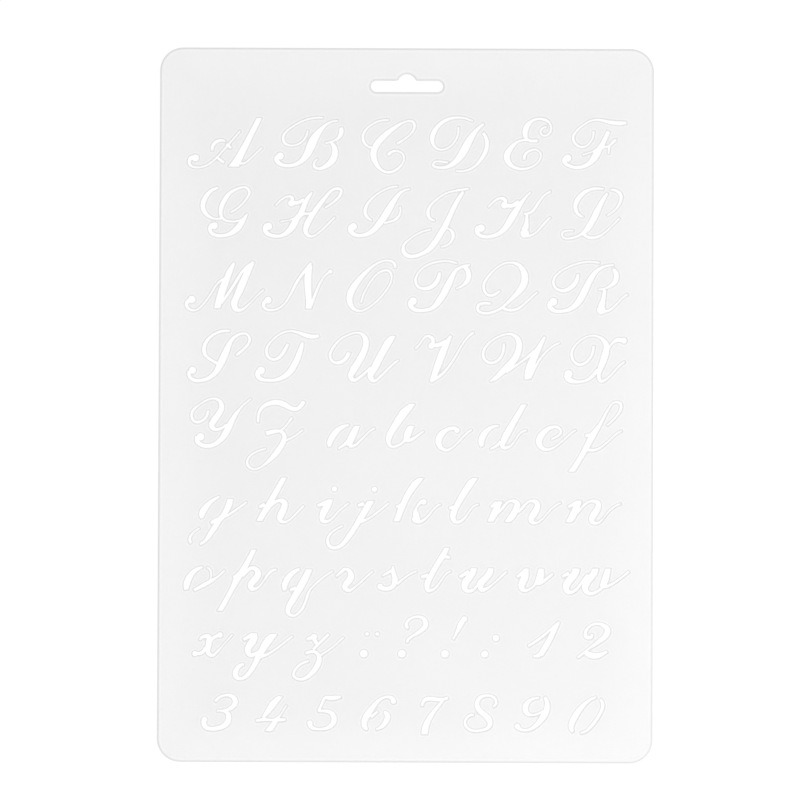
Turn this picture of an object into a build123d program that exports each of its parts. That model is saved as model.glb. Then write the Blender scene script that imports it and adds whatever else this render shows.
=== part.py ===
from build123d import *
from math import cos, pi, sin
import os

os.makedirs("parts", exist_ok=True)

# The stencil is one thin, flexible plastic sheet. It lies flat with its underside at Z = 0,
# X across the sheet, Y up the sheet towards the hanging slot, and its middle at the origin.
# Every letter, figure and mark is cut right through, and a stroke stops short wherever going on
# would free the island inside it, so the sheet stays in one piece.

# Driving dimensions, in millimetres
letter_height = 18.2  # from the baseline to the top of a capital
hairline_width = 0.75  # the finest line of the lettering
stem_width = 3.25  # the broadest downstroke
cutting_sag = 0.125  # how far a straight cut may leave the true curve
sheet_thickness = 0.5
corner_radius = 8.4
left_margin = 7.77  # from the edge of the sheet to the lettering
right_margin = 8.43
top_margin = 24.51
bottom_margin = 9.81

# The hanging slot, for a display hook
slot_length = 26.4
slot_height = 4.2
slot_drop = 13.9  # from the top edge of the sheet down to the slot's centre line
hook_rise_radius = 3.4  # the round rise in the slot's upper edge, where the hook settles
hook_rise_lift = 1.1  # the rise's centre above the slot's centre line
hook_rise_fillet = 1.0

# The lettering is drawn in fiftieths of a capital's height
units_per_letter_height_share = 50
unit = letter_height / units_per_letter_height_share
field_width_share = 450
field_length_share = 620

sheet_width = left_margin + unit * field_width_share + right_margin
sheet_length = bottom_margin + unit * field_length_share + top_margin

# Each letter is a list of pen strokes, and each stroke is a list of points (x, y, swell).
# x and y are in fiftieths of a capital's height, from the letter's own corner on the baseline.
# The swell is in tenths of the way from a hairline to a full stem.
# A stroke of one point is a round dot, such as the ball that ends a curl.
capital_stroke_shares = {
    "A": [
        [(14, 10.5, 3.5), (10.5, 9.5, 3), (9, 6.5, 2), (10, 2.5, 1), (15, 0.5, 0), (23, 1, 0), (32, 6, 0),
         (42, 16, 0), (51, 27, 0), (60, 37, 0)],
        [(15.2, 9.8, 7.5)],
        [(32, 17, 1), (32.5, 22, 2), (36, 26, 2), (41, 27.5, 1), (45, 26.5, 0)],
        [(46, 24, 0), (49, 21.5, 1), (51, 19, 0)],
        [(36, 11, 0), (39, 8.5, 1), (44, 5, 1)],
        [(79, 50, 4), (69.5, 31, 6), (62, 16, 7), (57, 7, 8), (53.5, 1, 11)],
        [(60, 4, 1), (65, 5, 0), (72, 11, 0), (78, 17, 0), (82, 20.5, 0)],
    ],
    "B": [
        [(68, 47.5, 0), (60, 46, 0), (52, 40, 3), (44.5, 30, 8.5), (39, 18, 9), (33, 8.5, 5),
         (25, 3.5, 2.5), (14.5, 2.5, 2), (8, 5.5, 3), (6, 9, 3), (8.5, 12, 3.5)],
        [(10, 12, 7.5)],
        [(53, 50.5, 0), (42, 50, 0), (30, 46, 0), (19, 39, 0), (13, 31, 1), (15, 24.5, 1),
         (22, 22.5, 0), (30, 25, 0), (36, 32, 0), (37.5, 38, 0)],
        [(71, 41, 2), (71, 36, 4), (69, 31, 2), (63, 27, 0), (55, 25, 0)],
        [(61, 26, 1), (65, 16, 5.5), (62.5, 8, 6.5), (55, 1.5, 3.5), (48, -0.5, 1), (44, 2, 1),
         (44.5, 6, 0), (48, 9, 0)],
    ],
    "C": [
        [(37, 24.5, 1), (44, 29, 0), (51, 35, 0), (54.5, 42, 1), (53, 46.5, 1), (48, 47.5, 0),
         (40, 44, 0), (31, 38, 4), (22, 30, 6), (15, 21, 6), (13.5, 13, 6), (16, 5, 4), (22, -2, 1),
         (29, -4, 1), (37, -1, 1), (43, 6, 0), (44, 12, 0), (39, 17, 0), (33, 17, 1), (28, 13, 2)],
        [(29, 48.5, 0), (18, 47, 0), (8, 41, 0), (3, 33, 1), (4, 26, 1), (10, 21, 0), (16, 22, 0)],
    ],
    "D": [
        [(43, 47.5, 0), (35, 50.5, 0), (25, 51, 1), (15, 48, 2), (7, 41, 3), (2.5, 32, 4),
         (3, 25, 2), (7, 20, 0.5), (13, 19, 0), (20, 22, 0), (26, 29, 0), (28.5, 37, 0), (28.5, 42, 0)],
        [(54, 45, 1), (48, 40, 2), (40, 29, 7), (33, 16, 8), (26, 7, 5), (17, 1.5, 2), (9, 1, 1),
         (3, 3.5, 0), (5, 6.5, 0), (10, 7, 0), (18, 6.5, 0)],
        [(53, 36, 1), (57, 28, 2.5), (56, 18, 3), (51, 9, 2), (43, 1, 0.5), (34, -2.5, 0),
         (26, -2.5, 0)],
    ],
    "E": [
        [(47, 42, 0), (43, 41, 0), (40.5, 37, 0), (43.5, 33.5, 0), (49, 35, 0.5), (51.5, 41, 0),
         (49, 47, 0.5), (42, 50, 1), (34, 49, 1), (28, 44, 4), (25.5, 37, 5.5), (27, 30, 2),
         (32, 28, 1.5), (38, 28.5, 1.5)],
        [(27, 29, 1), (18, 27, 1), (11, 20.5, 4), (7, 12, 6), (10, 5, 4), (17, 0.5, 1.5), (25, 0, 1),
         (34, 3, 0), (40, 9, 0), (41, 15, 0), (37, 19, 0), (31, 18.5, 0.5), (26, 15, 1), (24.5, 9, 2)],
    ],
    "F": [
        [(67, 46.5, 1), (58, 46, 3), (48, 47.5, 2), (38, 49.5, 0.5), (28, 47, 0), (19, 40, 0),
         (13.5, 32, 1), (16, 25, 1), (23, 22, 0.5), (30, 26, 0), (33.5, 33, 0), (34, 38, 1)],
        [(49, 38, 3), (45, 30, 5), (39, 19, 7), (34, 10, 6), (27, 4, 3), (18, 1.5, 2), (9, 3.5, 2),
         (4.5, 7.5, 3), (6, 11, 3.5)],
        [(8, 10.8, 8)],
        [(23, 14, 0), (30, 17, 0), (38, 20, 1), (46, 22, 1), (51, 24, 1), (54, 28, 1.5), (57, 29, 1)],
        [(50, 24, 1), (49, 15, 0)],
    ],
    "G": [
        [(18, 49, 1), (11, 46, 2), (4.5, 38, 4), (2.5, 30, 4), (5.5, 23, 2.5), (12, 18.5, 0.5),
         (22, 18.5, 0)],
        [(30, 24, 0), (38, 29, 0), (45, 37, 0), (49, 45, 1), (46, 49, 0.5), (39, 48.5, 0.5),
         (30, 44, 2), (23.5, 35, 4), (20.5, 26, 3), (22.5, 18, 1), (28, 15.5, 0), (36, 15.5, 0),
         (42, 17.5, 0)],
        [(47, 23, 0), (43, 17, 3), (38, 9, 6), (32, 4, 4), (24, 1, 2), (15, 1.5, 2), (10.2, 5, 2),
         (10, 9, 3), (12.5, 12, 3.5)],
        [(14.2, 10.8, 7)],
    ],
    "H": [
        [(52, 45, 0), (47, 38, 3), (42, 27, 6), (36, 16, 7), (29, 6, 5), (20, 0.8, 2), (10.5, 1.6, 2.5),
         (5.2, 5.5, 3), (4.9, 9, 3.5), (7, 12, 3.5)],
        [(8.3, 10.4, 8)],
        [(15, 31, 0), (20, 36, 0), (26, 40, 0), (31, 40, 1.5), (32, 36, 2)],
        [(31.2, 33.6, 6.5)],
        [(31, 33.5, 3.5), (37, 34, 2.5), (44, 37.5, 2)],
        [(20, 15, 0), (27, 17, 0), (35, 18.5, 1)],
        [(41, 22.5, 2), (47, 23.5, 1), (54, 24, 1)],
        [(65, 29, 0), (73, 35, 0), (80, 42, 1), (81, 47, 1), (76, 48.5, 1), (68, 43, 1.5), (60, 33, 4),
         (52, 21, 6), (46, 10, 5), (46, 4, 3), (50, 0.5, 1), (57, 3, 0), (66, 11, 0), (75, 20, 0)],
    ],
    "I": [
        [(58, 51, 0), (48, 49, 0), (37, 43, 0), (28, 34, 1), (25, 25, 2), (28, 19, 1), (32, 17, 0)],
        [(70, 48.5, 0), (61, 45, 1), (53, 35, 5), (46, 23, 7), (39, 13, 6), (31, 5, 4), (21, 1.5, 2),
         (13.5, 3, 3), (10.3, 7, 4), (11.5, 11, 3.5)],
        [(13.3, 10.5, 7.5)],
        [(60, 31, 0), (60, 24, 0), (57, 19, 1), (50, 15.5, 0), (44, 14, 0)],
    ],
    "J": [
        [(69, 49, 0), (58, 47, 0), (48, 45, 0), (38, 39, 0), (30, 31, 1), (28, 24, 2), (31, 18, 1),
         (35, 17, 0)],
        [(63.5, 46, 1), (57.5, 37, 3), (51.5, 24, 4), (45, 11, 5.5), (37, -2, 6), (28, -13, 4),
         (18, -18, 2), (9, -19, 3), (4, -15, 3), (4, -8, 1), (11, -1, 0), (21, 5, 0), (31, 8, 0)],
        [(44, 8.5, 0), (49, 8.5, 0), (53, 4, 2), (52, -3, 1), (47, -8, 0), (41, -9.5, 0)],
    ],
    "K": [
        [(61, 46, 0), (56, 41, 1), (49, 31, 5), (42, 20, 7), (35, 9, 5), (27, 3, 3), (17, 0.7, 2),
         (9.3, 2.7, 2.5), (6.8, 7, 3), (8.5, 10.5, 3.5)],
        [(11.2, 9.3, 8)],
        [(18, 30, 0), (24, 36, 0), (31, 39.5, 1), (35, 38, 2), (35, 34, 2)],
        [(34.5, 32.3, 6.5)],
        [(36, 32, 3), (42, 32, 3), (49, 36.5, 3)],
        [(81, 46.5, 1), (75, 43, 0), (68, 34, 1), (62, 26, 1), (54, 24, 0)],
        [(57, 23, 1), (57, 16, 3), (55, 8, 7)],
        [(55, 4.2, 9.8)],
        [(56.5, 1.3, 1), (63, 3, 0), (71, 10.3, 0), (81, 20.5, 0)],
    ],
    "L": [
        [(54, 49, 0), (46, 49.5, 1), (37, 47, 2), (29, 40, 4), (25.5, 31, 3), (27.5, 25, 2),
         (34, 21, 0)],
        [(58, 45, 0), (53, 38, 3), (48, 27, 5), (42, 16, 6), (36, 7, 4), (30, 2.5, 1),
         (20, -0.5, 0.5), (13, 1, 0), (12.5, 5, 0), (17, 7, 0), (24, 7, 0)],
        [(33, 4.5, 1), (39, 0.5, 1.5), (46, 0.5, 1), (56, 6, 0), (70, 20, 0)],
        [(60.5, 48.5, 0), (66, 47.5, 1), (71, 43, 2), (70, 35, 1), (64, 27, 0), (57, 22, 0)],
    ],
    "M": [
        [(12, 12, 3.5), (8.5, 11, 3), (6.3, 7, 2.3), (9, 2.3, 1), (15, 1, 0), (22, 6, 0), (29, 15, 0),
         (35, 25, 0), (44, 33, 0)],
        [(11.6, 11.9, 8)],
        [(54, 49, 1), (50, 41, 5), (44, 27, 7), (40, 15, 7), (37, 3, 6)],
        [(41, 8, 1), (47, 16, 1), (55, 29, 1), (63, 41, 1), (71, 48, 1)],
        [(73, 50, 2), (68, 41, 6), (62, 28, 7), (57, 15, 7), (54, 7, 6), (57, 1.5, 3), (63, 2.5, 1),
         (71, 10, 0), (79, 18, 0), (84, 22, 0)],
    ],
    "N": [
        [(9, 12.3, 3.5), (5.6, 10.6, 3), (3.4, 7, 2), (4.5, 3.5, 1), (9.5, 1.5, 0.5), (18, 3, 0),
         (26, 10, 0), (32, 21, 1), (38, 32, 1), (44, 40, 1), (51, 49, 1)],
        [(8, 11.5, 7)],
        [(50.5, 47, 2), (48, 38, 6.5), (48, 24, 7), (48.5, 3, 6)],
        [(51, 6, 1), (54, 15, 1), (58, 24, 1), (63, 34, 0), (69.5, 40, 0.5)],
        [(70.2, 40.3, 3.3)],
    ],
    "O": [
        [(55, 44, 1), (53, 50, 1), (46, 51.5, 0), (36, 48, 0.5), (26, 40, 2.5), (15, 27, 6),
         (9.5, 14, 6), (12, 5, 3), (19, 1, 0.5), (28, 4, 0), (38, 12, 0), (47, 23, 0), (51.5, 34, 0),
         (49, 41, 0.5), (44, 41.5, 0.5), (36, 37, 0), (28, 26, 0), (22.5, 15, 0), (21, 9, 0)],
    ],
    "P": [
        [(57, 49, 0), (49, 51, 0), (38, 50.5, 0), (27, 47, 0), (18, 39, 0), (15.5, 31, 1),
         (18, 25.5, 1), (25, 23.5, 2), (33, 26.5, 3.5), (38, 33, 3), (39.5, 40, 1)],
        [(70, 47.5, 0), (63, 46, 1), (56, 42, 2), (51, 33, 5), (45, 21, 7), (39, 11, 6), (32, 4, 3),
         (21, 1.7, 2), (13, 3.5, 3), (10.2, 7.5, 3.5), (11, 11, 3.5)],
        [(13, 11, 8)],
        [(64, 46, 2), (68, 41, 4), (68, 33, 4), (63, 27, 1), (56, 23.5, 0)],
    ],
    "Q": [
        [(30, 22, 0), (25, 18, 1), (19, 17, 1), (14, 23, 1), (15, 31, 1), (21, 39, 0), (30, 47, 0),
         (40, 50, 0), (48, 48, 2), (54, 40, 6), (54, 29, 7), (48, 20, 5), (40, 12, 2), (33, 5.5, 1),
         (25, 1, 1), (15, -1, 1), (8, 2.5, 1), (8.5, 7, 1), (13, 9, 1), (21, 8.5, 1)],
        [(32, 5, 1), (38, 2.5, 1), (46, 3, 1), (56, 10, 0), (68, 20.5, 0)],
    ],
    "R": [
        [(60, 50, 0), (50, 51, 0), (39, 49.5, 0), (27, 45, 0), (17, 38, 0), (13.5, 31, 1),
         (16, 24.5, 1), (24, 22, 2), (32, 26, 3.5), (37, 33, 3), (38, 39, 1)],
        [(74, 48, 0), (64, 46, 1), (56, 41, 3), (50, 32, 6), (44, 20, 7), (38, 10, 6), (30, 3.5, 3),
         (20, 1.3, 2), (12.5, 3, 3), (9.8, 6.8, 4), (11, 10.5, 3.5)],
        [(13.5, 10.9, 8.5)],
        [(73, 44, 1), (76.5, 38, 4.5), (75, 31, 4), (69, 26, 1), (62, 23.5, 0), (58, 23.5, 0)],
        [(65, 23, 2), (64.3, 17, 3), (61.5, 6.5, 7)],
        [(61.5, 2.8, 10)],
        [(63, 0.6, 1), (70, 2.8, 0.5), (79, 11.3, 0), (88, 18.6, 0.5)],
    ],
    "S": [
        [(50, 50.5, 0), (41, 50, 1), (31, 45, 1), (24.5, 36, 2.5), (24.5, 28, 2.5), (29, 22.5, 1),
         (35, 19.5, 1), (39, 17, 1)],
        [(56, 26, 1), (61, 30, 1), (67, 36, 1), (69.5, 43, 1), (66, 47.5, 0.5), (59, 47, 1),
         (52, 42, 2), (47.5, 33, 6), (42, 21, 7), (37, 11, 5), (30, 4, 3), (20, 0.7, 2), (11.7, 2.3, 2),
         (9, 6, 2), (9.5, 10, 3.5)],
        [(12.4, 11, 7.5)],
    ],
    "T": [
        [(69, 46, 1), (63, 45, 3), (55, 46.5, 3), (47, 49.5, 1), (39, 50.5, 0), (29, 47, 0),
         (21, 40, 0), (16.5, 32, 1), (18, 25, 1), (23, 22, 1), (30, 25, 2), (35, 32, 2), (38, 38, 1)],
        [(52.5, 39.5, 1), (50, 31, 5), (46, 21, 6), (41, 11, 6), (34, 5, 4), (25, 1.5, 2), (15.5, 1.5, 2),
         (9.5, 3.3, 3), (7.6, 6.5, 4), (8.5, 10.5, 3.5)],
        [(11, 11, 8.3)],
    ],
    "U": [
        [(29, 29.5, 2.5), (25.5, 23, 2.5), (19, 19, 2), (13, 20, 1), (10, 26, 1), (13, 34, 1),
         (21, 43, 0), (31, 48, 0), (39, 49, 0.5), (45, 44, 4), (44.5, 32, 6), (39, 21, 6.5),
         (33, 11, 6), (30.5, 5, 4), (33.5, 1.5, 2), (39, 4, 1), (45, 9.2, 1), (51, 14.5, 1)],
        [(73, 46, 4), (67, 37, 6), (60, 25, 7), (54, 13, 7), (50.5, 5, 5), (53.5, 1, 2), (60, 5, 0),
         (68, 13, 0), (79, 22, 0)],
    ],
    "V": [
        [(5, 33, 0), (11, 40, 0), (18, 46, 1), (22, 44, 2), (22, 38, 2)],
        [(21.1, 36.1, 5.5)],
        [(22, 36.5, 3), (28, 37, 3), (36, 41, 3)],
        [(41, 46.5, 1), (35.5, 37, 5.5), (30.5, 24, 7), (26.5, 12, 6), (22.5, 3, 3), (20.5, 0.5, 1)],
        [(21, 0.5, 1), (31, 7, 1), (40, 17, 0.5), (49, 32, 0), (56, 43, 0), (64, 50, 1)],
    ],
    "W": [
        [(34, 39, 1), (33, 30, 1), (28, 22, 1), (20, 19.5, 1), (14, 24, 1), (14, 32, 1), (21, 41, 0),
         (32, 47, 0), (42, 48, 1), (48.5, 42, 4.5), (48.5, 32, 6), (43, 21, 7), (34, 12, 6),
         (26, 4.5, 3), (20, 1, 0)],
        [(36, 10, 1), (48, 18, 0), (58, 25.5, 1), (65, 32, 1)],
        [(75, 46, 1), (70, 37, 4), (64, 25, 7), (59, 13, 7), (57, 3, 4)],
        [(60, 4, 1), (65, 15, 1), (73, 27, 0), (81, 35, 0), (90, 40, 0)],
    ],
    "X": [
        [(34, 37, 1), (32, 28, 1), (27, 21, 1), (19, 18, 1), (13, 23, 1), (12, 31, 1), (17, 39, 0),
         (25, 45, 0), (34, 47, 0), (42, 44, 2), (46.5, 37, 5.5), (45, 27, 7), (41, 16, 6), (39, 8, 3),
         (41, 1.5, 2), (47, 4, 0), (55, 12, 0), (65, 21, 0)],
        [(48, 33, 1), (53, 40, 1), (58, 43, 3), (62, 42.3, 3.5)],
        [(64, 42.2, 5.8)],
        [(38, 13, 3), (32, 6, 2), (24, 1.5, 1), (15.5, 1, 2), (9.3, 2.7, 4.5), (6.6, 7.5, 3.9)],
        [(8.6, 8.5, 9)],
    ],
    "Y": [
        [(28, 37, 1), (27, 32, 1), (22, 26.5, 1), (15, 25.5, 1), (11.5, 31, 1), (13, 37, 1),
         (20, 43, 0), (29, 48, 0), (37, 48, 1), (41.5, 42, 4), (39, 34, 5.5), (34, 27, 6),
         (31.5, 21, 4), (35, 18, 2), (41, 19, 1), (47, 23, 1)],
        [(71, 49, 0), (61, 40, 0.5), (55, 32, 3), (50, 23, 6), (45, 13, 6), (39, 6, 4), (30, 1.4, 3),
         (21.5, 2.4, 3), (17, 6.5, 3.5), (17.5, 10.5, 3.5)],
        [(20.5, 10.5, 8)],
    ],
    "Z": [
        [(18, 25, 1), (18.5, 33, 1), (22, 40, 2), (29, 44, 3.5), (38, 45, 4.5), (48, 41, 4.5),
         (56, 38.5, 2.5), (61, 42, 3), (63.5, 46.5, 3)],
        [(26, 14, 3.5), (33, 16, 3), (41, 16.5, 1)],
        [(52, 30, 1), (47, 23, 0), (41, 17, 0)],
        [(40, 17, 1), (44.5, 10, 3.5), (42, 3, 5), (35, -7, 5), (29, -13, 3), (22, -19, 0),
         (13, -21.5, 0), (7.5, -17, 1), (9, -10, 0), (16, -4.5, 0), (26, -1, 0)],
        [(46, 7, 0), (54, 11, 0), (63, 18, 0)],
    ],
}

small_letter_stroke_shares = {
    "a": [
        [(29, 23, 0), (24, 21.5, 2), (17, 17, 5), (12, 10, 6), (9.5, 4, 4), (10, 1, 2)],
        [(18, -1, 0), (23, 2, 1), (28, 7, 2)],
        [(37, 22, 5), (34, 15, 6.5), (30.5, 8, 7), (29, 2, 4)],
        [(29, 1.5, 1), (35, 2.5, 1), (41, 8, 0), (48, 15, 0), (55, 20, 0)],
    ],
    "b": [
        [(32, 44, 5), (26, 36, 6), (18, 26, 6), (11, 15, 7), (8.5, 7, 4), (11, 1.5, 1), (17, 2, 1),
         (22, 5.2, 1), (27, 9, 1)],
        [(31.5, 22, 4), (28, 15, 7), (26, 7.5, 5)],
        [(26.5, 7.5, 2), (32, 8.5, 1.5), (36, 11.3, 1), (40, 14.5, 0), (44, 17, 0)],
    ],
    "c": [
        [(27, 17, 3), (25, 19.8, 2.5), (19.5, 19.3, 2), (12, 14.5, 5.5), (8.5, 7, 6), (11, 0.5, 3),
         (17, -2, 1), (23, 1, 0), (31, 9, 0), (42, 18.5, 0)],
        [(27, 17.8, 4.8)],
    ],
    "d": [
        [(29, 22.5, 0), (22, 21, 2), (15.5, 16, 5), (11.5, 8, 6), (12, 1.5, 2)],
        [(20, -1, 0), (26, 2, 1), (31, 7, 2)],
        [(54, 44, 4), (49, 36, 5), (42.5, 24, 6), (37, 14, 7), (33, 6, 5), (33, 1, 2.5), (38, 1, 1),
         (45, 8, 0), (57, 18, 0)],
    ],
    "e": [
        [(21, 9, 0), (27, 12, 0), (31, 17, 1), (28, 21, 1), (21, 21, 2), (13, 15, 5.5), (9, 7, 6),
         (12, 0.5, 3), (19, -1, 1), (27, 3, 0), (36, 11, 0), (46, 18.5, 0)],
    ],
    "f": [
        [(47, 23, 0), (54, 30, 0), (60, 38, 1), (60.5, 45, 1), (55, 46.5, 0), (48, 39, 1), (41, 27, 4),
         (34, 16, 5.5), (28.5, 5, 5.5), (22.5, -6, 5), (16.5, -16, 5), (11.5, -23, 5)],
        [(25, 13, 1), (31, 14, 3)],
        [(27, -1, 1), (34, -1.5, 1), (42, 2, 0), (52, 11, 0), (62, 18, 0)],
    ],
    "g": [
        [(40, 26, 0), (33, 22, 2), (26, 15, 5.5), (22, 8, 5.5), (22.5, 4, 2)],
        [(50.5, 23.5, 5.5), (48, 15, 6), (43, 7, 6), (37, -2, 6), (30, -12, 3.5), (25, -19, 1.5),
         (20, -22, 1)],
        [(31, -1, 1), (38, 3, 3), (46, 6, 1), (55, 12, 0), (67, 20.5, 0)],
        [(20, -5.5, 0), (13, -11, 0), (10, -16, 1), (11.5, -21, 1)],
    ],
    "h": [
        [(34, 45, 4), (29, 36, 5), (22.5, 24, 6), (16, 13, 6), (9.5, 1.5, 5)],
        [(9, 15.5, 1), (15, 18, 3)],
        [(17, 11, 0), (22, 17, 1), (29, 22, 2), (34.5, 20, 5), (34, 14, 6), (30.5, 7, 6), (30.5, 2, 3),
         (34.5, 0.5, 1), (40, 3, 0), (47, 10, 0), (54, 17, 0)],
    ],
    "i": [
        [(24.5, 33.8, 5)],
        [(20.3, 23.5, 5), (15.5, 14, 7), (12.5, 7, 5.5), (13, 2, 3), (18, 1.5, 1), (25, 8, 0),
         (33, 15, 0), (39, 20, 0)],
        [(7.5, 16.8, 1), (12.5, 19, 3), (17, 20.5, 3.5)],
    ],
    "j": [
        [(54.5, 33.5, 5)],
        [(51, 22, 5.5), (46, 14, 6), (41, 5, 6), (35, -4, 5), (30, -12, 5), (24, -20, 3), (16, -25, 2),
         (9.5, -23, 2), (8, -16, 1), (14, -8, 0), (23, -3, 0)],
        [(38, 17, 1), (44, 19.5, 3)],
        [(41, 1, 2), (50, 5, 0), (58, 11, 0), (69, 20, 0)],
    ],
    "k": [
        [(31, 45, 4), (21.5, 33, 5), (15, 23, 6), (11, 13, 6), (6.5, 1.5, 5)],
        [(6, 16, 1), (12, 18, 3)],
        [(25, 12, 1), (27.3, 16.5, 0.5), (29.7, 20, 1.5), (33, 21.8, 3)],
        [(33.8, 21.2, 5.5)],
        [(25.3, 13.5, 2), (26, 10, 5.5), (26.5, 5, 6)],
        [(26.3, 3.8, 9)],
        [(27.5, 0.6, 1), (33, 2.4, 1), (40, 9.4, 0), (51, 19.2, 0)],
    ],
    "l": [
        [(35, 45, 4), (28, 36, 6), (21, 25, 6.5), (15.5, 14, 6), (13, 6, 5), (16, 1, 2), (21, 2, 1),
         (28, 10, 0), (39, 19, 0)],
        [(9, 15, 1), (14, 16, 3)],
    ],
    "m": [
        [(11, 16, 1), (17, 21, 3)],
        [(20, 22, 4), (16.5, 14, 7), (10.5, 1.5, 5)],
        [(18, 10, 0), (24, 17, 1), (31, 22.5, 1), (37, 20.5, 4), (36.5, 15, 6), (31.5, 7, 6),
         (27.5, 1.5, 5)],
        [(38, 11, 0), (43, 16, 1), (51, 22.5, 1), (57, 20.5, 4), (57, 15, 6), (52, 7, 6),
         (51.5, 2, 3.5), (56, 0.5, 1), (65, 8, 0), (73, 16, 0), (81, 21, 0)],
    ],
    "n": [
        [(8, 16.4, 1), (12, 18.8, 1.7), (18, 21.5, 3.5)],
        [(19.2, 23, 4.5), (16, 14, 7), (9, 1.5, 5)],
        [(17, 10, 0), (23, 17, 1), (31, 22.5, 1), (38, 20.5, 4), (37.5, 15, 6), (32.5, 7, 6),
         (32, 2, 3.5), (37, 0.5, 1), (45, 8, 0), (53, 16, 0), (61, 20, 0)],
    ],
    "o": [
        [(23, 24.5, 0), (15, 20.5, 3.5), (9, 13, 6), (6.5, 5, 5.5), (6.5, 1.5, 3)],
        [(27, 24, 0), (31, 20, 0), (31, 14, 0), (29.5, 9, 0)],
        [(14, 1, 1), (20, 4.5, 2), (27, 8, 3), (34, 12, 1), (45, 21.5, 0)],
    ],
    "p": [
        [(44, 42, 4), (38, 30, 5), (31, 19, 7), (25, 9, 6), (18, -5, 5), (10, -19.5, 4)],
        [(23, 14, 1), (28, 16, 3)],
        [(33, 15, 1), (37.5, 21, 2), (43.5, 23.5, 2.5), (48, 19, 5.5), (45, 12, 6.5), (41, 7, 5.5),
         (41.5, 3, 3.5), (46, 3, 1), (54, 11, 0), (67, 22, 0)],
    ],
    "q": [
        [(20, 23, 1), (12, 18, 4), (6.5, 11, 5.5), (4.5, 4, 4), (5, 1, 2)],
        [(10, 1.5, 1), (16, 4, 2)],
        [(29.5, 22.5, 5.5), (25.5, 14, 7), (20, 4, 6.5), (14.5, -6, 6), (9, -15, 5), (8.5, -21, 3),
         (13, -24, 1), (20, -20, 1), (25, -12, 1), (27.5, -4, 1), (31, 3, 0), (35, 7, 0), (44, 15, 0),
         (53, 21, 0)],
    ],
    "r": [
        [(6, 15, 0), (11, 20, 1), (15, 23, 1)],
        [(14, 23, 1), (20, 20, 3.5), (21, 15, 6), (17, 9, 6), (15, 4, 4), (19, 1.5, 2), (25, 5, 0),
         (34, 13, 0), (43, 21, 0)],
    ],
    "s": [
        [(23, 26, 0), (23.5, 19, 3), (25, 11, 5), (22, 5, 3.5), (15, 3.2, 3), (10.5, 4.3, 3)],
        [(10.2, 5.5, 5.4)],
        [(12, 16, 0), (17, 19, 1), (23, 22, 1)],
        [(27, 8, 1), (33, 13, 0), (40, 18, 0), (47, 21, 0)],
    ],
    "t": [
        [(27, 44.5, 4), (22.5, 36, 5), (16, 26, 5), (10.5, 15, 6), (7, 6, 4.5), (8.5, 1.5, 2),
         (13, 2.5, 1), (20, 10, 0), (31, 21, 0)],
        [(24, 36, 2), (30, 34.5, 1)],
        [(1, 15, 1), (8, 17, 3)],
    ],
    "u": [
        [(24, 24.3, 6), (18.5, 14, 7), (14.5, 6, 6), (16, 2, 3), (21, 1.5, 2), (25, 4, 1)],
        [(9.3, 15.3, 1), (13.5, 17.5, 2.5), (19, 20.5, 3.5)],
        [(25, 4, 1), (30, 12, 1)],
        [(40.5, 24.3, 5.5), (35, 14, 7), (30.5, 7, 6), (32, 2.5, 3.5), (37, 4, 1), (47, 12, 0),
         (57, 21, 0)],
    ],
    "v": [
        [(6.8, 15.5, 1), (10.5, 18.5, 2.5), (15, 21.5, 3.5)],
        [(16.2, 24.2, 4), (15.8, 20, 6), (14.4, 14, 7.6), (11.5, 7, 6.5), (13, 2.5, 3), (19, 3, 1),
         (24.5, 7.3, 1), (28, 11, 1)],
        [(31, 24, 4.5), (29.7, 14, 8), (27, 7.5, 6)],
        [(27.5, 9, 2), (32.5, 10.3, 1.5), (36, 13.3, 1), (39.5, 16.3, 1), (43, 19, 1)],
    ],
    "w": [
        [(16, 24.3, 8), (11, 14, 7.5), (6, 5.5, 6.5), (8, 0.5, 3), (13, 1, 2), (20, 8, 1), (28, 18, 1)],
        [(2, 16, 1), (9, 19.5, 3)],
        [(35.5, 24.3, 6), (29.8, 14, 7.5), (25, 5, 6), (27.5, 0, 3), (34, -0.3, 2), (39.5, 3, 1.5),
         (44, 6.5, 1)],
        [(48, 24.3, 4.5), (45.3, 14, 7.5), (42.5, 6, 5)],
        [(42.5, 5.4, 1.5), (48, 6.7, 1.3), (53, 9.3, 1), (61, 15, 0), (69, 21.5, 1)],
    ],
    "x": [
        [(6, 2.8, 3), (11, 3.3, 2.3), (16, 9, 2.3)],
        [(5.3, 2.8, 5)],
        [(10, 16, 0), (14, 20, 2), (18.5, 20, 3.5), (19, 12, 6), (18, 5, 4), (22, 1, 2), (28, 6, 0),
         (36, 15, 0), (43, 22, 0)],
        [(19, 14, 2), (24, 19, 2), (29, 21.5, 2)],
        [(30.1, 21.5, 5.2)],
    ],
    "y": [
        [(13.5, 16.8, 1), (18.5, 20, 2.3), (22.5, 21.8, 3.5)],
        [(23.8, 23.5, 4.5), (21.5, 13, 7), (18, 6, 5.5), (20.5, 1.5, 3), (26, 3, 2), (31, 6, 1)],
        [(44, 22.5, 5.5), (37, 14, 7), (31, 5, 6.5), (27.5, -3, 5), (23, -11, 4), (17, -19, 3),
         (11, -22, 2), (6.5, -20, 4), (6, -15, 4.5), (9, -10, 3), (14.5, -7.5, 1)],
        [(31, 0, 2), (37, 2, 1), (45, 7, 0), (54, 14, 0), (63, 21, 0)],
    ],
    "z": [
        [(16.5, 17.2, 0.5), (20.5, 19, 2.5), (24, 20, 3.5)],
        [(24.2, 20, 6)],
        [(24, 18, 3), (26, 14.5, 2.5), (28, 11.5, 1.5)],
        [(39, 23, 1), (33, 17, 1), (27, 11, 1), (23, 7, 1)],
        [(15.5, 3.5, 1), (20, 5, 1.5), (25, 5, 1.5), (29, 1, 3), (29, -5, 4.5), (23, -15, 4),
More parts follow.
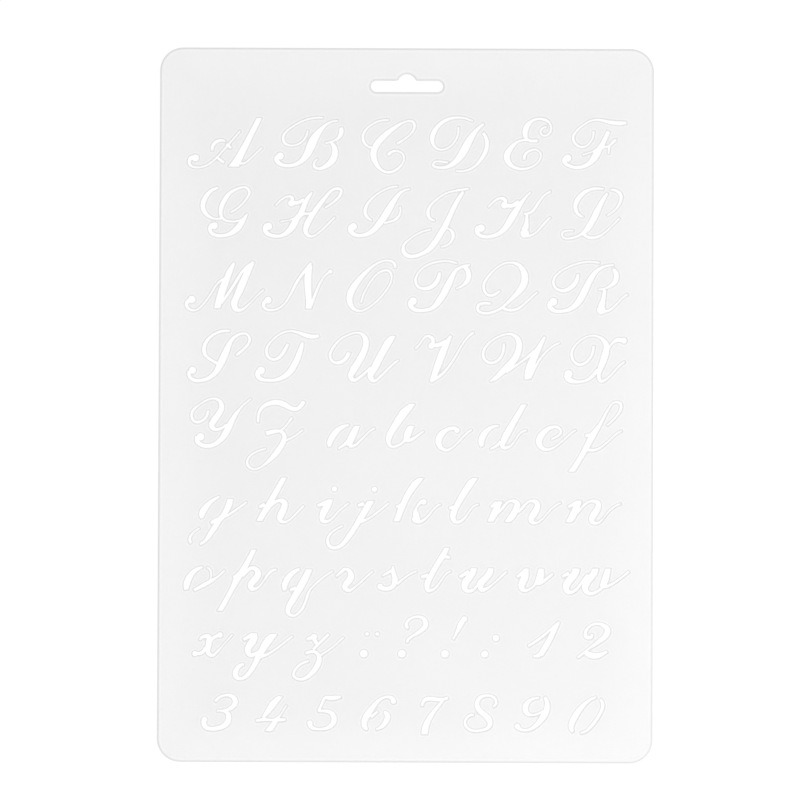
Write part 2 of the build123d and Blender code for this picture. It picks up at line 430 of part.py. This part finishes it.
         (15, -21.5, 2), (8, -22, 1), (4, -18.5, 1), (5.5, -13, 1), (11.5, -7, 1), (19, -4, 1)],
        [(30, 1, 0), (35, 4, 0), (43, 10, 0), (54, 20, 0)],
    ],
}

figure_stroke_shares = {
    "1": [
        [(8, 11.5, 1), (17, 17, 1), (27, 25, 1), (37, 34, 1)],
        [(39, 36, 1), (34.5, 28, 4), (29, 17, 5), (23, 7, 6), (19, 1.5, 6)],
        [(13, 1.5, 1), (20, 2, 3)],
    ],
    "2": [
        [(22, 24, 1), (19.5, 20, 2), (15.5, 21.5, 2), (15.5, 26, 2), (19, 31, 1), (25, 34, 1),
         (32, 33, 2), (37.5, 28, 5), (35, 21.5, 5), (28, 16, 3), (20, 10.5, 1), (13, 5, 1),
         (7.5, 0, 1)],
        [(15.5, 5.5, 3), (20.5, 2.6, 5.5), (27, 2, 5), (32, 3.8, 3), (37, 6.5, 1)],
    ],
    "3": [
        [(25, 28, 1), (29, 32, 1), (36, 34.5, 1), (43, 33, 3), (45.5, 27.5, 4.5), (41, 21.5, 3),
         (34, 19, 1), (27, 19, 1)],
        [(33, 19, 1), (38.5, 15, 4), (38, 8, 5.5), (31, 2.5, 4), (22, 1, 3), (16.5, 2.4, 3.5),
         (14.3, 5.5, 4), (14.2, 9.5, 3.5)],
        [(14.8, 10, 5.5)],
    ],
    "4": [
        [(30, 33.5, 4), (24.5, 26, 4), (18.5, 18, 3), (13, 12, 1)],
        [(6, 9, 1), (16, 10.5, 2), (26, 10, 2), (36, 10.5, 1)],
        [(37, 25, 0), (31, 17, 1), (27, 11, 3), (23.5, 5, 5), (19, -1, 5)],
    ],
    "5": [
        [(41, 33.5, 1), (33, 32, 3.5), (25, 33, 2)],
        [(25, 33, 1), (22, 26, 1), (18.5, 19, 1)],
        [(18, 19, 1), (26, 19, 2), (33, 15.5, 4), (34, 9, 5), (29, 3, 3), (21, 1, 1), (15.5, 1.4, 1.5),
         (11.6, 3, 3), (10.1, 6.5, 3.5)],
        [(10.1, 7, 5)],
    ],
    "6": [
        [(33.5, 29, 5)],
        [(33.5, 29.5, 3.5), (32, 32, 3), (27, 33.3, 1.2), (19, 30, 2), (11.5, 21, 5.5),
         (5.5, 12, 6), (4.5, 5, 4.5), (7.5, 0.5, 1)],
        [(24, 18.5, 1), (27.5, 14, 5), (26, 9, 5), (21, 3, 2), (16, 1, 0)],
        [(11, 13, 1), (18, 19, 1)],
    ],
    "7": [
        [(12, 24, 1), (17, 31.5, 3), (25, 31, 3.5), (33, 31, 2), (38, 33, 1)],
        [(33, 30, 1), (27, 23, 2), (20.5, 14, 4), (16, 5, 6), (14.5, -4, 6)],
    ],
    "8": [
        [(33, 24, 1), (36, 28, 1), (34, 33, 1), (27, 35, 1), (19, 32, 3), (17, 25, 4), (23, 17, 5),
         (29.5, 10, 5), (29, 4, 3), (21, 0.5, 1), (11, 0.5, 1), (5, 7, 1), (7, 13, 1), (14, 15.5, 1)],
    ],
    "9": [
        [(29, 33, 1), (21, 31, 2), (15.5, 25, 5), (16.5, 18, 4), (22, 15.7, 1), (28, 17.2, 1),
         (34, 20, 1)],
        [(34.5, 34, 1), (37, 27, 4), (35.5, 18, 6), (29, 9, 5), (21, 2, 2), (13, 0.7, 1.3),
         (8, 2.8, 3)],
        [(7.1, 4.6, 5)],
    ],
    "0": [
        [(36, 34, 1), (28, 30, 2), (20, 22, 5), (13, 11, 6), (11, 3, 4), (13, -1, 1)],
        [(40, 32, 1), (42.5, 26, 2), (39, 16, 2), (32, 6, 2), (24, -1, 1), (20, -2, 0)],
    ],
}

mark_stroke_shares = {
    "¨": [[(7, 23, 3)], [(17.4, 23, 3)]],
    ".": [[(4, 3.5, 8.5)]],
    "?": [
        [(8.7, 29, 1.5), (6.3, 31.5, 2), (7, 35, 1.3), (10.5, 38.5, 1), (18, 40.5, 1), (24, 38, 3),
         (25.5, 32, 4.5), (20, 26, 3.5), (12, 20.5, 1), (7.5, 16.5, 1), (7.5, 14.5, 1)],
        [(2, 3.5, 8.5)],
    ],
    "!": [
        [(24.3, 38.2, 5.7)],
        [(24, 38.5, 3.5), (22, 35.3, 5.5), (19.8, 31, 3.5), (17.3, 26, 1.3), (13, 18, 1)],
        [(5, 3.5, 8.5)],
    ],
    ":": [[(4.7, 3.3, 7.5)], [(15.8, 19.4, 6.7)]],
}

stroke_shares = {
    **capital_stroke_shares,
    **small_letter_stroke_shares,
    **figure_stroke_shares,
    **mark_stroke_shares,
}

# The rows from the top down: the baseline's height above the foot of the lettering, the row's
# indent, then each letter with its place from the left of the lettering, in fiftieths again
row_shares = [
    (567, -0.9, {"A": 0, "B": 90, "C": 180, "D": 250, "E": 320, "F": 380}),
    (498, -0.6, {"G": 20, "H": 80, "I": 160, "J": 220, "K": 290, "L": 370}),
    (423, -0.3, {"M": 0, "N": 80, "O": 160, "P": 220, "Q": 290, "R": 360}),
    (353, -0.1, {"S": 0, "T": 70, "U": 140, "V": 230, "W": 290, "X": 380}),
    (287, 0.2, {"Y": 0, "Z": 60, "a": 140, "b": 200, "c": 250, "d": 290, "e": 350, "f": 380}),
    (212, 0.4, {"g": 0, "h": 70, "i": 130, "j": 140, "k": 210, "l": 260, "m": 300, "n": 380}),
    (143, 0.7, {"o": 0, "p": 30, "q": 100, "r": 150, "s": 190, "t": 240, "u": 270, "v": 330,
                "w": 380}),
    (78, 0.9, {"x": 10, "y": 50, "z": 110, "¨": 180, ".": 180, "?": 220, "!": 260, ":": 300,
               "1": 340, "2": 390}),
    (5, 1.2, {"3": 10, "4": 70, "5": 120, "6": 180, "7": 230, "8": 280, "9": 330, "0": 380}),
]


# A broad end of a stroke is cut level with the baseline, and a fine end square to the stroke
broad_end_swell_share = 4
full_swell_share = 10
steps_between_points = 10
dot_cuts = 12


def half_width(swell):
    """Half the width of a stroke at a swell given in tenths."""
    return (hairline_width + (stem_width - hairline_width) * swell / full_swell_share) / 2


def straight_cuts(curve):
    """The few corners of a finely stepped curve that keep its cuts within the cutting sag."""
    corners = [curve[0]]
    skipped = []
    for point, next_point in zip(curve[1:], curve[2:]):
        chord = next_point - corners[-1]
        skipped.append(point)
        sags = [chord.cross(passed - corners[-1]).length for passed in skipped]
        if max(sags) > cutting_sag * chord.length:
            corners.append(point)
            skipped = []
    return corners + [curve[-1]]


def stroke_outline(points):
    """The corners round a pen stroke, whose width swells and thins along a smooth curve."""
    # The curve's height above the sheet stands for half the stroke's width
    path = Spline(*[(x * unit, y * unit, half_width(swell)) for x, y, swell in points])
    steps = steps_between_points * (len(points) - 1)
    ends = points[0], points[-1]
    broad_ends = [Vector(x * unit, y * unit) for x, y, swell in ends if swell >= broad_end_swell_share]
    left, right = [], []
    for step in range(steps + 1):
        place = path @ (step / steps)
        heading = path % (step / steps)
        centre = Vector(place.X, place.Y)
        across = Vector(-heading.Y, heading.X).normalized() * max(place.Z, hairline_width / 2)
        if any((centre - end).length < across.length for end in broad_ends):
            if 0 < step < steps:
                continue
            across = Vector(across.length**2 / across.X, 0)
        left.append(centre + across)
        right.append(centre - across)
    return straight_cuts(left) + straight_cuts(right)[::-1]


def dot_outline(x, y, swell):
    """The corners round a dot."""
    radius = half_width(swell)
    turns = [2 * pi * cut / dot_cuts for cut in range(dot_cuts)]
    return [Vector(x * unit + radius * cos(turn), y * unit + radius * sin(turn)) for turn in turns]


def lettering():
    """Every stroke as a flat face in its place on the sheet. Strokes overlap where they meet."""
    foot = Vector(left_margin - sheet_width / 2, bottom_margin - sheet_length / 2)
    faces = []
    for baseline, indent, places in row_shares:
        for letter, place in places.items():
            corner = foot + Vector((place + indent) * unit, baseline * unit)
            for points in stroke_shares[letter]:
                outline = dot_outline(*points[0]) if len(points) == 1 else stroke_outline(points)
                faces.append(make_face(Polyline(*[corner + point for point in outline], close=True)))
    return faces


def hanging_slot():
    """The flat face of the hanging slot, with the round rise that centres a display hook."""
    rise_middle = (0, hook_rise_lift)
    slot = SlotOverall(slot_length, slot_height) + Pos(*rise_middle) * Circle(hook_rise_radius)
    corners = slot.vertices().sort_by_distance(rise_middle)[:2]
    return Pos(0, sheet_length / 2 - slot_drop) * fillet(corners, hook_rise_fillet)


stencil_face = RectangleRounded(sheet_width, sheet_length, corner_radius)
stencil_face -= hanging_slot()
stencil_face -= lettering()
stencil_sheet = extrude(stencil_face, sheet_thickness)
export_step(stencil_sheet, "parts/stencil_sheet.step")
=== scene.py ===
from math import cos, radians, sin

import bmesh
import bpy
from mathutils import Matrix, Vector
from mathutils.bvhtree import BVHTree
from mathutils.geometry import delaunay_2d_cdt


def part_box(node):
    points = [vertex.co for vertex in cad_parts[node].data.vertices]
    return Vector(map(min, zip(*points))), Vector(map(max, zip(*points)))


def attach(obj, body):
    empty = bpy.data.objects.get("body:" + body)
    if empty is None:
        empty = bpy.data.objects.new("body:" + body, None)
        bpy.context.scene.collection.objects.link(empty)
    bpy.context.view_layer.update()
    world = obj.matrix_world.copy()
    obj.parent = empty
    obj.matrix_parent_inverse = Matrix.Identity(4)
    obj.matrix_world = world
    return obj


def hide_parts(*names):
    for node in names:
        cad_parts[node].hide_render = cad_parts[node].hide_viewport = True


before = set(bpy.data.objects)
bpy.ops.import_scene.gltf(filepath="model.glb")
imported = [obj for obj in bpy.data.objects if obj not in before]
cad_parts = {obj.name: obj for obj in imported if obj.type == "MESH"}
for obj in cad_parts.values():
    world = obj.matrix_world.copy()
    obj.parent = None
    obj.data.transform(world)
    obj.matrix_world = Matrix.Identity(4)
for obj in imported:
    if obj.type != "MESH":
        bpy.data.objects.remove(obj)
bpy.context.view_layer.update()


# The stencil sheet: thin, flexible, frosted plastic, cut through in one stroke of a steel rule die.
# The rules leave each cut, and the sheet's own rim, with a rounded edge and a low lip that is
# denser. Painted shade makes the lip a shade greyer, and a painted highlight runs as a paler line
# just inside it.
lowest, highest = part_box("stencil_sheet")
sheet_thickness = highest.z - lowest.z
mid_height = (lowest.z + highest.z) / 2
flat_drop = 0.00003  # how far the plain sheet lies below the crest of the lip
edge_drop = 0.00008  # how far the rounded edge falls from the crest to the cut
crest_width = 0.00007  # from a letter's cut in to the crest of its lip
lip_width = 0.00045
pale_width = 0.00095
deepest_marked = 0.002  # further in than this, every point is marked alike
broad_share = 1.7  # the lip round the rim and the slot, which are cut by heavier rules
slot_foot = 0.11  # no letter reaches as far up the sheet as this
rise_half_width = 0.0035
edge_waver = 0.0003  # the slot's lower edge, where it strays less than this, is drawn straight
sharp_corner = radians(55)
crease = radians(40)
shortest_cut = 0.00006
steps_between_corners = 3
longest_step = 0.0012
longest_letter_cut = 0.03  # every straight of the rim is longer than this
straight_enough = radians(4)
clear_share = 0.93  # of a row's distance: a point that is nearer to another cut is left out
merging_mm = 1e-7


class Tree:
    """Builds a node tree, one node a call, and gives back the node's output as a Value.

    An input is given by its name, or by an underscore and its number.
    """

    def __init__(self, nodes_and_links):
        self.nodes = nodes_and_links.nodes
        self.links = nodes_and_links.links

    def node(self, kind, settings=(), output=0, **inputs):
        made = self.nodes.new(kind)
        for name, setting in dict(settings).items():
            if name == "stops":
                for position, level in setting[1:-1]:
                    made.color_ramp.elements.new(position)
                for stop, (position, level) in zip(made.color_ramp.elements, setting):
                    stop.position = position
                    stop.color = (level, level, level, 1)
            else:
                setattr(made, name, setting)
        for name, given in inputs.items():
            socket = made.inputs[int(name[1:]) if name[0] == "_" else name.replace("_", " ")]
            if isinstance(given, Value):
                self.links.new(given.socket, socket)
            else:
                socket.default_value = given
        return Value(self, made.outputs[output]) if made.outputs else made


class Value:
    """An output socket that takes plain arithmetic, each operation adding its Math node."""

    def __init__(self, tree, socket):
        self.tree = tree
        self.socket = socket

    def maths(self, operation, first, second):
        return self.tree.node("ShaderNodeMath", {"operation": operation}, _0=first, _1=second)

    def __add__(self, other):
        return self.maths("ADD", self, other)

    def __radd__(self, other):
        return self.maths("ADD", other, self)

    def __sub__(self, other):
        return self.maths("SUBTRACT", self, other)

    def __rsub__(self, other):
        return self.maths("SUBTRACT", other, self)

    def __mul__(self, other):
        return self.maths("MULTIPLY", self, other)

    def __rmul__(self, other):
        return self.maths("MULTIPLY", other, self)

    def __gt__(self, other):
        return self.maths("GREATER_THAN", self, other)


def frosted_plastic():
    """Frosted polypropylene: pale, soft-sheened, a little see-through, and denser at its cuts."""
    material = bpy.data.materials.new("frosted_polypropylene")
    material.use_nodes = True
    material.node_tree.nodes.clear()
    tree = Tree(material.node_tree)
    place = tree.node("ShaderNodeTexCoord", output=3)
    from_cut = tree.node("ShaderNodeAttribute", {"attribute_name": "from_cut_mm"}, output=2)
    # After the plain centre tone come painted light for the outer rim, a painted highlight for the
    # line inside each lip, and painted shade for the lip beside each cut.
    centre_tone, painted_rim_light_tone, painted_highlight_tone, painted_edge_shade_tone = [
        (level, level, level, 1) for level in (0.895, 0.945, 0.98, 0.73)]
    cloud = tree.node("ShaderNodeTexNoise", Vector=place, Scale=22.0, Detail=3.0, Roughness=0.5)
    grain = tree.node("ShaderNodeTexNoise", Vector=place, Scale=900.0, Detail=2.0, Roughness=0.6)
    frost = tree.node("ShaderNodeTexNoise", Vector=place, Scale=4200.0, Detail=1.0, Roughness=0.5)
    # Painted shade: the band within about half a millimetre of each cut is painted greyer, as the
    # shade on its rounded edge, and is also made denser.
    lip = tree.node("ShaderNodeMapRange", {"interpolation_type": "SMOOTHSTEP"},
                    Value=from_cut, _1=0.22, _2=0.47, _3=1.0, _4=0.0)
    # Painted highlight: a paler line from about 0.4 to 0.95 mm in from each cut.
    pale = tree.node("ShaderNodeValToRGB", {"stops": ((0.4, 0), (0.64, 1), (0.95, 0))}, Fac=from_cut)
    along = tree.node("ShaderNodeSeparateXYZ", Vector=place)
    up = Value(tree, along.socket.node.outputs["Y"])
    from_side = highest.x - along.maths("ABSOLUTE", along, 0.0)
    from_end = highest.y - up.maths("ABSOLUTE", up, 0.0)
    # Painted light: the colour turns paler within about 24 mm of the sheet's outer rim.
    rim_light = tree.node("ShaderNodeMapRange", {"interpolation_type": "SMOOTHSTEP"},
                          Value=from_side.maths("MINIMUM", from_side, from_end),
                          _1=0.0, _2=0.024, _3=1.0, _4=0.0)
    uneven = (cloud - 0.5) * 0.8 + (grain - 0.5) * 0.4 + (frost - 0.5) * 0.5
    plain = tree.node("ShaderNodeMix", {"data_type": "RGBA"}, output=2,
                      _0=0.2 + uneven + 0.6 * rim_light,
                      _6=centre_tone, _7=painted_rim_light_tone)
    # Painted highlight laid over the plain colour.
    edge_highlit = tree.node("ShaderNodeMix", {"data_type": "RGBA"}, output=2, _0=pale * 0.85,
                         _6=plain, _7=painted_highlight_tone)
    # Painted shade laid over the band beside each cut.
    edge_shaded = tree.node("ShaderNodeMix", {"data_type": "RGBA"}, output=2, _0=lip,
                       _6=edge_highlit, _7=painted_edge_shade_tone)
    relief = tree.node("ShaderNodeBump", Strength=0.6, Distance=0.00002,
                       Height=frost * 0.5 + grain + cloud * 6.0)
    tree.node("ShaderNodeOutputMaterial", Surface=tree.node(
        "ShaderNodeBsdfPrincipled", Base_Color=edge_shaded, Roughness=0.44 + (grain - 0.5) * 0.12,
        Alpha=0.84 + lip * 0.14, Normal=relief, IOR=1.49))
    return material


def cut_edges(node):
    """The corners and edges round the upper face of the sheet, as a mesh of lines."""
    solid = bmesh.new()
    solid.from_mesh(node.data)
    bmesh.ops.remove_doubles(solid, verts=solid.verts, dist=shortest_cut / 600)
    lines = bmesh.new()
    corners = {}
    for edge in solid.edges:
        slopes = sorted(abs(face.normal.z) for face in edge.link_faces)
        if min(vert.co.z for vert in edge.verts) > mid_height and slopes[0] < 0.5 < slopes[-1]:
            for vert in edge.verts:
                if vert not in corners:
                    corners[vert] = lines.verts.new(vert.co)
            lines.edges.new([corners[vert] for vert in edge.verts])
    solid.free()
    slivers = [edge for edge in lines.edges if edge.calc_length() < shortest_cut]
    bmesh.ops.collapse(lines, edges=slivers)
    for edge in list(lines.edges):
        length = edge.calc_length()
        in_slot = min(vert.co.y for vert in edge.verts) > slot_foot
        if length > longest_letter_cut or in_slot and length > 2 * longest_step:
            bmesh.ops.subdivide_edges(lines, edges=[edge], cuts=int(length / longest_step))
    mesh = bpy.data.meshes.new("cut_lines")
    lines.to_mesh(mesh)
    lines.free()
    return mesh


def cut_line_tree(material):
    """Runs a smooth line through the corners of every cut, but keeps its sharp corners."""
    group = bpy.data.node_groups.new("cut_lines", "GeometryNodeTree")
    for name, kind in (("Geometry", "Geometry"), ("Sharp corner", "Float"), ("Steps", "Int")):
        group.interface.new_socket(name, in_out="INPUT", socket_type="NodeSocket" + kind)
    group.interface.new_socket("Geometry", in_out="OUTPUT", socket_type="NodeSocketGeometry")
    tree = Tree(group)
    corners = tree.node("NodeGroupInput")
    given = corners.socket.node.outputs
    sharp, steps = Value(tree, given["Sharp corner"]), Value(tree, given["Steps"])
    here = tree.node("GeometryNodeInputPosition")

    def corner(offset):
        index = tree.node("GeometryNodeOffsetPointInCurve", output=1, Offset=offset)
        return tree.node("GeometryNodeFieldAtIndex", {"data_type": "FLOAT_VECTOR"},
                         Value=here, Index=index)

    def way(start, end):
        step = tree.node("ShaderNodeVectorMath", {"operation": "SUBTRACT"}, _0=end, _1=start)
        return tree.node("ShaderNodeVectorMath", {"operation": "NORMALIZE"}, _0=step)

    straightness = tree.node("ShaderNodeVectorMath", {"operation": "DOT_PRODUCT"}, output=1,
                             _0=way(corner(-1), here), _1=way(here, corner(1)))
    turn = tree.node("ShaderNodeMath", {"operation": "ARCCOSINE"}, _0=straightness)
    line = tree.node("GeometryNodeMeshToCurve", Mesh=corners)
    line = tree.node("GeometryNodeCurveSplineType", {"spline_type": "BEZIER"}, Curve=line)
    line = tree.node("GeometryNodeCurveSetHandles", {"handle_type": "AUTO"}, Curve=line)
    line = tree.node("GeometryNodeCurveSetHandles", {"handle_type": "VECTOR"},
                     Curve=line, Selection=turn > sharp)
    line = tree.node("GeometryNodeSetSplineResolution", Geometry=line, Resolution=steps)
    line = tree.node("GeometryNodeCurveToMesh", Curve=line)
    line = tree.node("GeometryNodeRealizeInstances", Geometry=line)
    line = tree.node("GeometryNodeSetMaterial", Geometry=line, Material=material)
    tree.node("NodeGroupOutput", Geometry=line)
    return group


def smoothed(mesh, material):
    """The mesh of lines after its modifier has run, and with no modifier left."""
    lines = bpy.data.objects.new("cut_lines", mesh)
    bpy.context.scene.collection.objects.link(lines)
    modifier = lines.modifiers.new("cut_lines", "NODES")
    modifier.node_group = cut_line_tree(material)
    for socket in modifier.node_group.interface.items_tree:
        if socket.name == "Sharp corner":
            modifier[socket.identifier] = sharp_corner
        if socket.name == "Steps":
            modifier[socket.identifier] = steps_between_corners
    evaluated = lines.evaluated_get(bpy.context.evaluated_depsgraph_get())
    result = bpy.data.meshes.new_from_object(evaluated)
    bpy.data.objects.remove(lines)
    return result


def closed_lines(mesh):
    """Each closed line as a list of flat points, with the sheet's plastic on its left."""
    joined = {}
    for edge in mesh.edges:
        a, b = edge.vertices
        joined.setdefault(a, []).append(b)
        joined.setdefault(b, []).append(a)
    loops = []
    while joined:
        loop = [next(iter(joined))]
        following = joined[loop[0]][0]
        while following != loop[0]:
            loop.append(following)
            following = next(index for index in joined[following] if index != loop[-2])
        for index in loop:
            del joined[index]
        loops.append([mesh.vertices[index].co.xy for index in loop])
    areas = [sum(a.cross(b) for a, b in zip(loop, loop[1:] + loop[:1])) for loop in loops]
    rim = max(range(len(loops)), key=lambda k: abs(areas[k]))
    return [loop if (area > 0) == (k == rim) else loop[::-1]
            for k, (loop, area) in enumerate(zip(loops, areas))]


def evenly_stepped(loop):
    """The line with the points it doesn't need left out, and long straights divided."""
    kept = [loop[0]]
    for point, following in zip(loop[1:], loop[2:] + loop[:1]):
        straight = (point - kept[-1]).angle(following - point, 0) < straight_enough
        if not straight or (following - kept[-1]).length > longest_step:
            kept.append(point)
    stepped = []
    for point, following in zip(kept, kept[1:] + kept[:1]):
        pieces = max(1, round((following - point).length / longest_step))
        stepped += [point.lerp(following, piece / pieces) for piece in range(pieces)]
    return stepped


def straight_foot(loop):
    """The slot's line with its lower edge drawn straight under the rise."""
    lower_edge = min(point.y for point in loop if abs(point.x) > rise_half_width)
    for point in loop:
        if abs(point.x) < rise_half_width and point.y < lower_edge + edge_waver:
            point.y = lower_edge
    return loop


def depth_in(point):
    """The distance in from the nearest cut, as it would be beside the finer cut of a letter."""
    nearest = walls.find_nearest(point.to_3d())
    return nearest[3] / breadths[nearest[2]]


def sheet_side(rows):
    """One side of the sheet, with rows of points beside its cuts: its flat points and triangles."""
    points = list(rim_points)
    first = 0
    for loop in loops:
        for before, point, after in zip(loop[-1:] + loop[:-1], loop, loop[1:] + loop[:1]):
            ways = [after - before]
            if (point - before).angle(after - point) > sharp_corner:
                ways += [point - before, after - point]
            for width in rows:
                for way in ways:
                    inner = point + way.orthogonal().normalized() * width * breadths[first]
                    if depth_in(inner) > width * clear_share:
                        points.append(inner)
        first += len(loop)
    in_mm = [point * 1000 for point in points]
    verts, lines, triangles, origins, line_origins = delaunay_2d_cdt(
        in_mm, edges, [], 0, merging_mm)[:5]
    places = {given: index for index, origin in enumerate(origins) for given in origin}
    cuts = {frozenset(line) for line, origin in zip(lines, line_origins) if origin}
    beside = {}
    for k, triangle in enumerate(triangles):
        for line in zip(triangle, triangle[1:] + triangle[:1]):
            beside[line] = k
    plastic_side = [(places[a], places[b]) for a, b in edges]
    reached = {beside[line] for line in plastic_side if line in beside}
    waiting = list(reached)
    while waiting:
        triangle = triangles[waiting.pop()]
        for a, b in zip(triangle, triangle[1:] + triangle[:1]):
            across = beside.get((b, a))
            inside = across is not None and frozenset((a, b)) not in cuts
            if inside and across not in reached:
                reached.add(across)
                waiting.append(across)
    return [vert / 1000 for vert in verts], [triangles[k] for k in sorted(reached)], places


plastic = frosted_plastic()
smooth = smoothed(cut_edges(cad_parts["stencil_sheet"]), plastic)
loops = [evenly_stepped(loop) for loop in closed_lines(smooth)]
loops = [straight_foot(loop) if min(point.y for point in loop) > slot_foot else loop
         for loop in loops]
edges = []
for loop in loops:
    first = len(edges)
    edges += [(first + k, first + (k + 1) % len(loop)) for k in range(len(loop))]
rim_points = [point for loop in loops for point in loop]
breadths = []
for loop in loops:
    broad = max(point.y for point in loop) > slot_foot
    breadths += [broad_share if broad else 1] * len(loop)
wall_points = [point.to_3d() + Vector((0, 0, z)) for z in (-0.001, 0.001) for point in rim_points]
walls = BVHTree.FromPolygons(
    wall_points, [(a, b, b + len(rim_points), a + len(rim_points)) for a, b in edges])


def drop_at(depth):
    """How far the surface lies below the crest of the lip, at a depth in from the cut."""
    if depth < crest_width:
        return edge_drop * (1 - depth / crest_width)
    return flat_drop * min(1, (depth - crest_width) / (lip_width - crest_width))


sheet = bmesh.new()
from_cut = sheet.verts.layers.float.new("from_cut_mm")
ring = {}
for side, rows in ((1, (crest_width, lip_width, pale_width)), (-1, (crest_width, lip_width))):
    flat, triangles, places = sheet_side(rows)
    made = {}
    for index in sorted({index for triangle in triangles for index in triangle}):
        depth = depth_in(flat[index])
        height = mid_height + side * (sheet_thickness / 2 - drop_at(depth))
        made[index] = sheet.verts.new((flat[index].x, flat[index].y, height))
        made[index][from_cut] = min(deepest_marked, depth) * 1000
    for triangle in triangles:
        sheet.faces.new([made[index] for index in (triangle if side > 0 else triangle[::-1])])
    ring[side] = [made[places[k]] for k in range(len(rim_points))]
for a, b in edges:
    sheet.faces.new((ring[1][b], ring[1][a], ring[-1][a], ring[-1][b]))
bmesh.ops.recalc_face_normals(sheet, faces=sheet.faces)
for face in sheet.faces:
    face.smooth = True
for edge in sheet.edges:
    if len(edge.link_faces) == 2 and edge.calc_face_angle() > crease:
        edge.smooth = False
sheet_mesh = bpy.data.meshes.new("stencil_sheet_cut")
sheet.to_mesh(sheet_mesh)
sheet.free()
sheet_mesh.materials.append(plastic)
stencil = bpy.data.objects.new("stencil_sheet_cut", sheet_mesh)
bpy.context.scene.collection.objects.link(stencil)
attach(stencil, "root")
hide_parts("stencil_sheet")
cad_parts["stencil_sheet"].data.materials.clear()
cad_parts["stencil_sheet"].data.materials.append(plastic)


# The table that the sheet lies on: a plain painted board, far wider than the view.
# It is white to the camera, and keeps the soft shadow that the thin sheet casts on it.
table_size = 3.0
table_mesh = bpy.data.meshes.new("table")
half = table_size / 2
gap = 0.00004  # keeps the sheet's underside clear of the table's top
table_corners = [(x, y, lowest.z - gap) for x, y in
                 ((-half, -half), (half, -half), (half, half), (-half, half))]
table_mesh.from_pydata(table_corners, [], [(0, 1, 2, 3)])
table = bpy.data.objects.new("table", table_mesh)
bpy.context.scene.collection.objects.link(table)


def seen(tree):
    """One for the rays by which the camera sees a thing, straight or in a sheen, else nought."""
    straight = tree.node("ShaderNodeLightPath")
    rays = straight.socket.node.outputs
    return straight + Value(tree, rays["Is Glossy Ray"]) + Value(tree, rays["Is Transmission Ray"])


white = bpy.data.materials.new("white_table")
white.use_nodes = True
white.node_tree.nodes.clear()
tree = Tree(white.node_tree)
lit = tree.node("ShaderNodeBsdfDiffuse", Color=(0.86, 0.86, 0.86, 1))
bright = tree.node("ShaderNodeEmission", Color=(1, 1, 1, 1), Strength=1.09)
tree.node("ShaderNodeOutputMaterial", Surface=tree.node(
    "ShaderNodeMixShader", _0=seen(tree) * 0.7, _1=lit, _2=bright))
table_mesh.materials.append(white)


# The light: an even white tent all round, and one broad soft lamp.
# The lamp stands beyond the lower right corner, so the sheet pales a little towards it.
world = bpy.data.worlds.new("white_tent")
world.use_nodes = True
world.node_tree.nodes.clear()
tree = Tree(world.node_tree)
tent_light = 0.845
tree.node("ShaderNodeOutputWorld", Surface=tree.node(
    "ShaderNodeBackground", Color=(1, 1, 1, 1),
    Strength=tent_light + seen(tree) * (1 - tent_light)))
bpy.context.scene.world = world
lamp_data = bpy.data.lights.new("soft_lamp", "AREA")
lamp_data.shape = "RECTANGLE"
lamp_data.size = 0.9
lamp_data.size_y = 0.9
lamp_data.energy = 3.7
lamp = bpy.data.objects.new("soft_lamp", lamp_data)
lamp.location = (0.45, -0.35, 0.9)
lamp.rotation_euler = (-lamp.location).to_track_quat("-Z", "Y").to_euler()
bpy.context.scene.collection.objects.link(lamp)


# The camera: a long lens that looks almost straight down on the middle of the sheet.
# It leans a little towards the slot and is turned a hair, as the photo's outline shows.
camera_data = bpy.data.cameras.new("camera")
camera_data.lens = 100
camera_data.sensor_width = 36
camera = bpy.data.objects.new("camera", camera_data)
image_width = 0.2912
camera_height = image_width * camera_data.lens / camera_data.sensor_width
lean = radians(0.7)
roll = radians(0.21)
aim = Vector((-0.00215, 0.00175, highest.z))
towards_camera = Vector((0, -sin(lean), cos(lean)))
camera.location = aim + towards_camera * camera_height
camera.rotation_euler = (-towards_camera).to_track_quat("-Z", "Y").to_euler()
camera.rotation_euler.rotate_axis("Z", roll)
bpy.context.scene.collection.objects.link(camera)
bpy.context.scene.camera = camera

bpy.context.scene.view_settings.view_transform = "Standard"
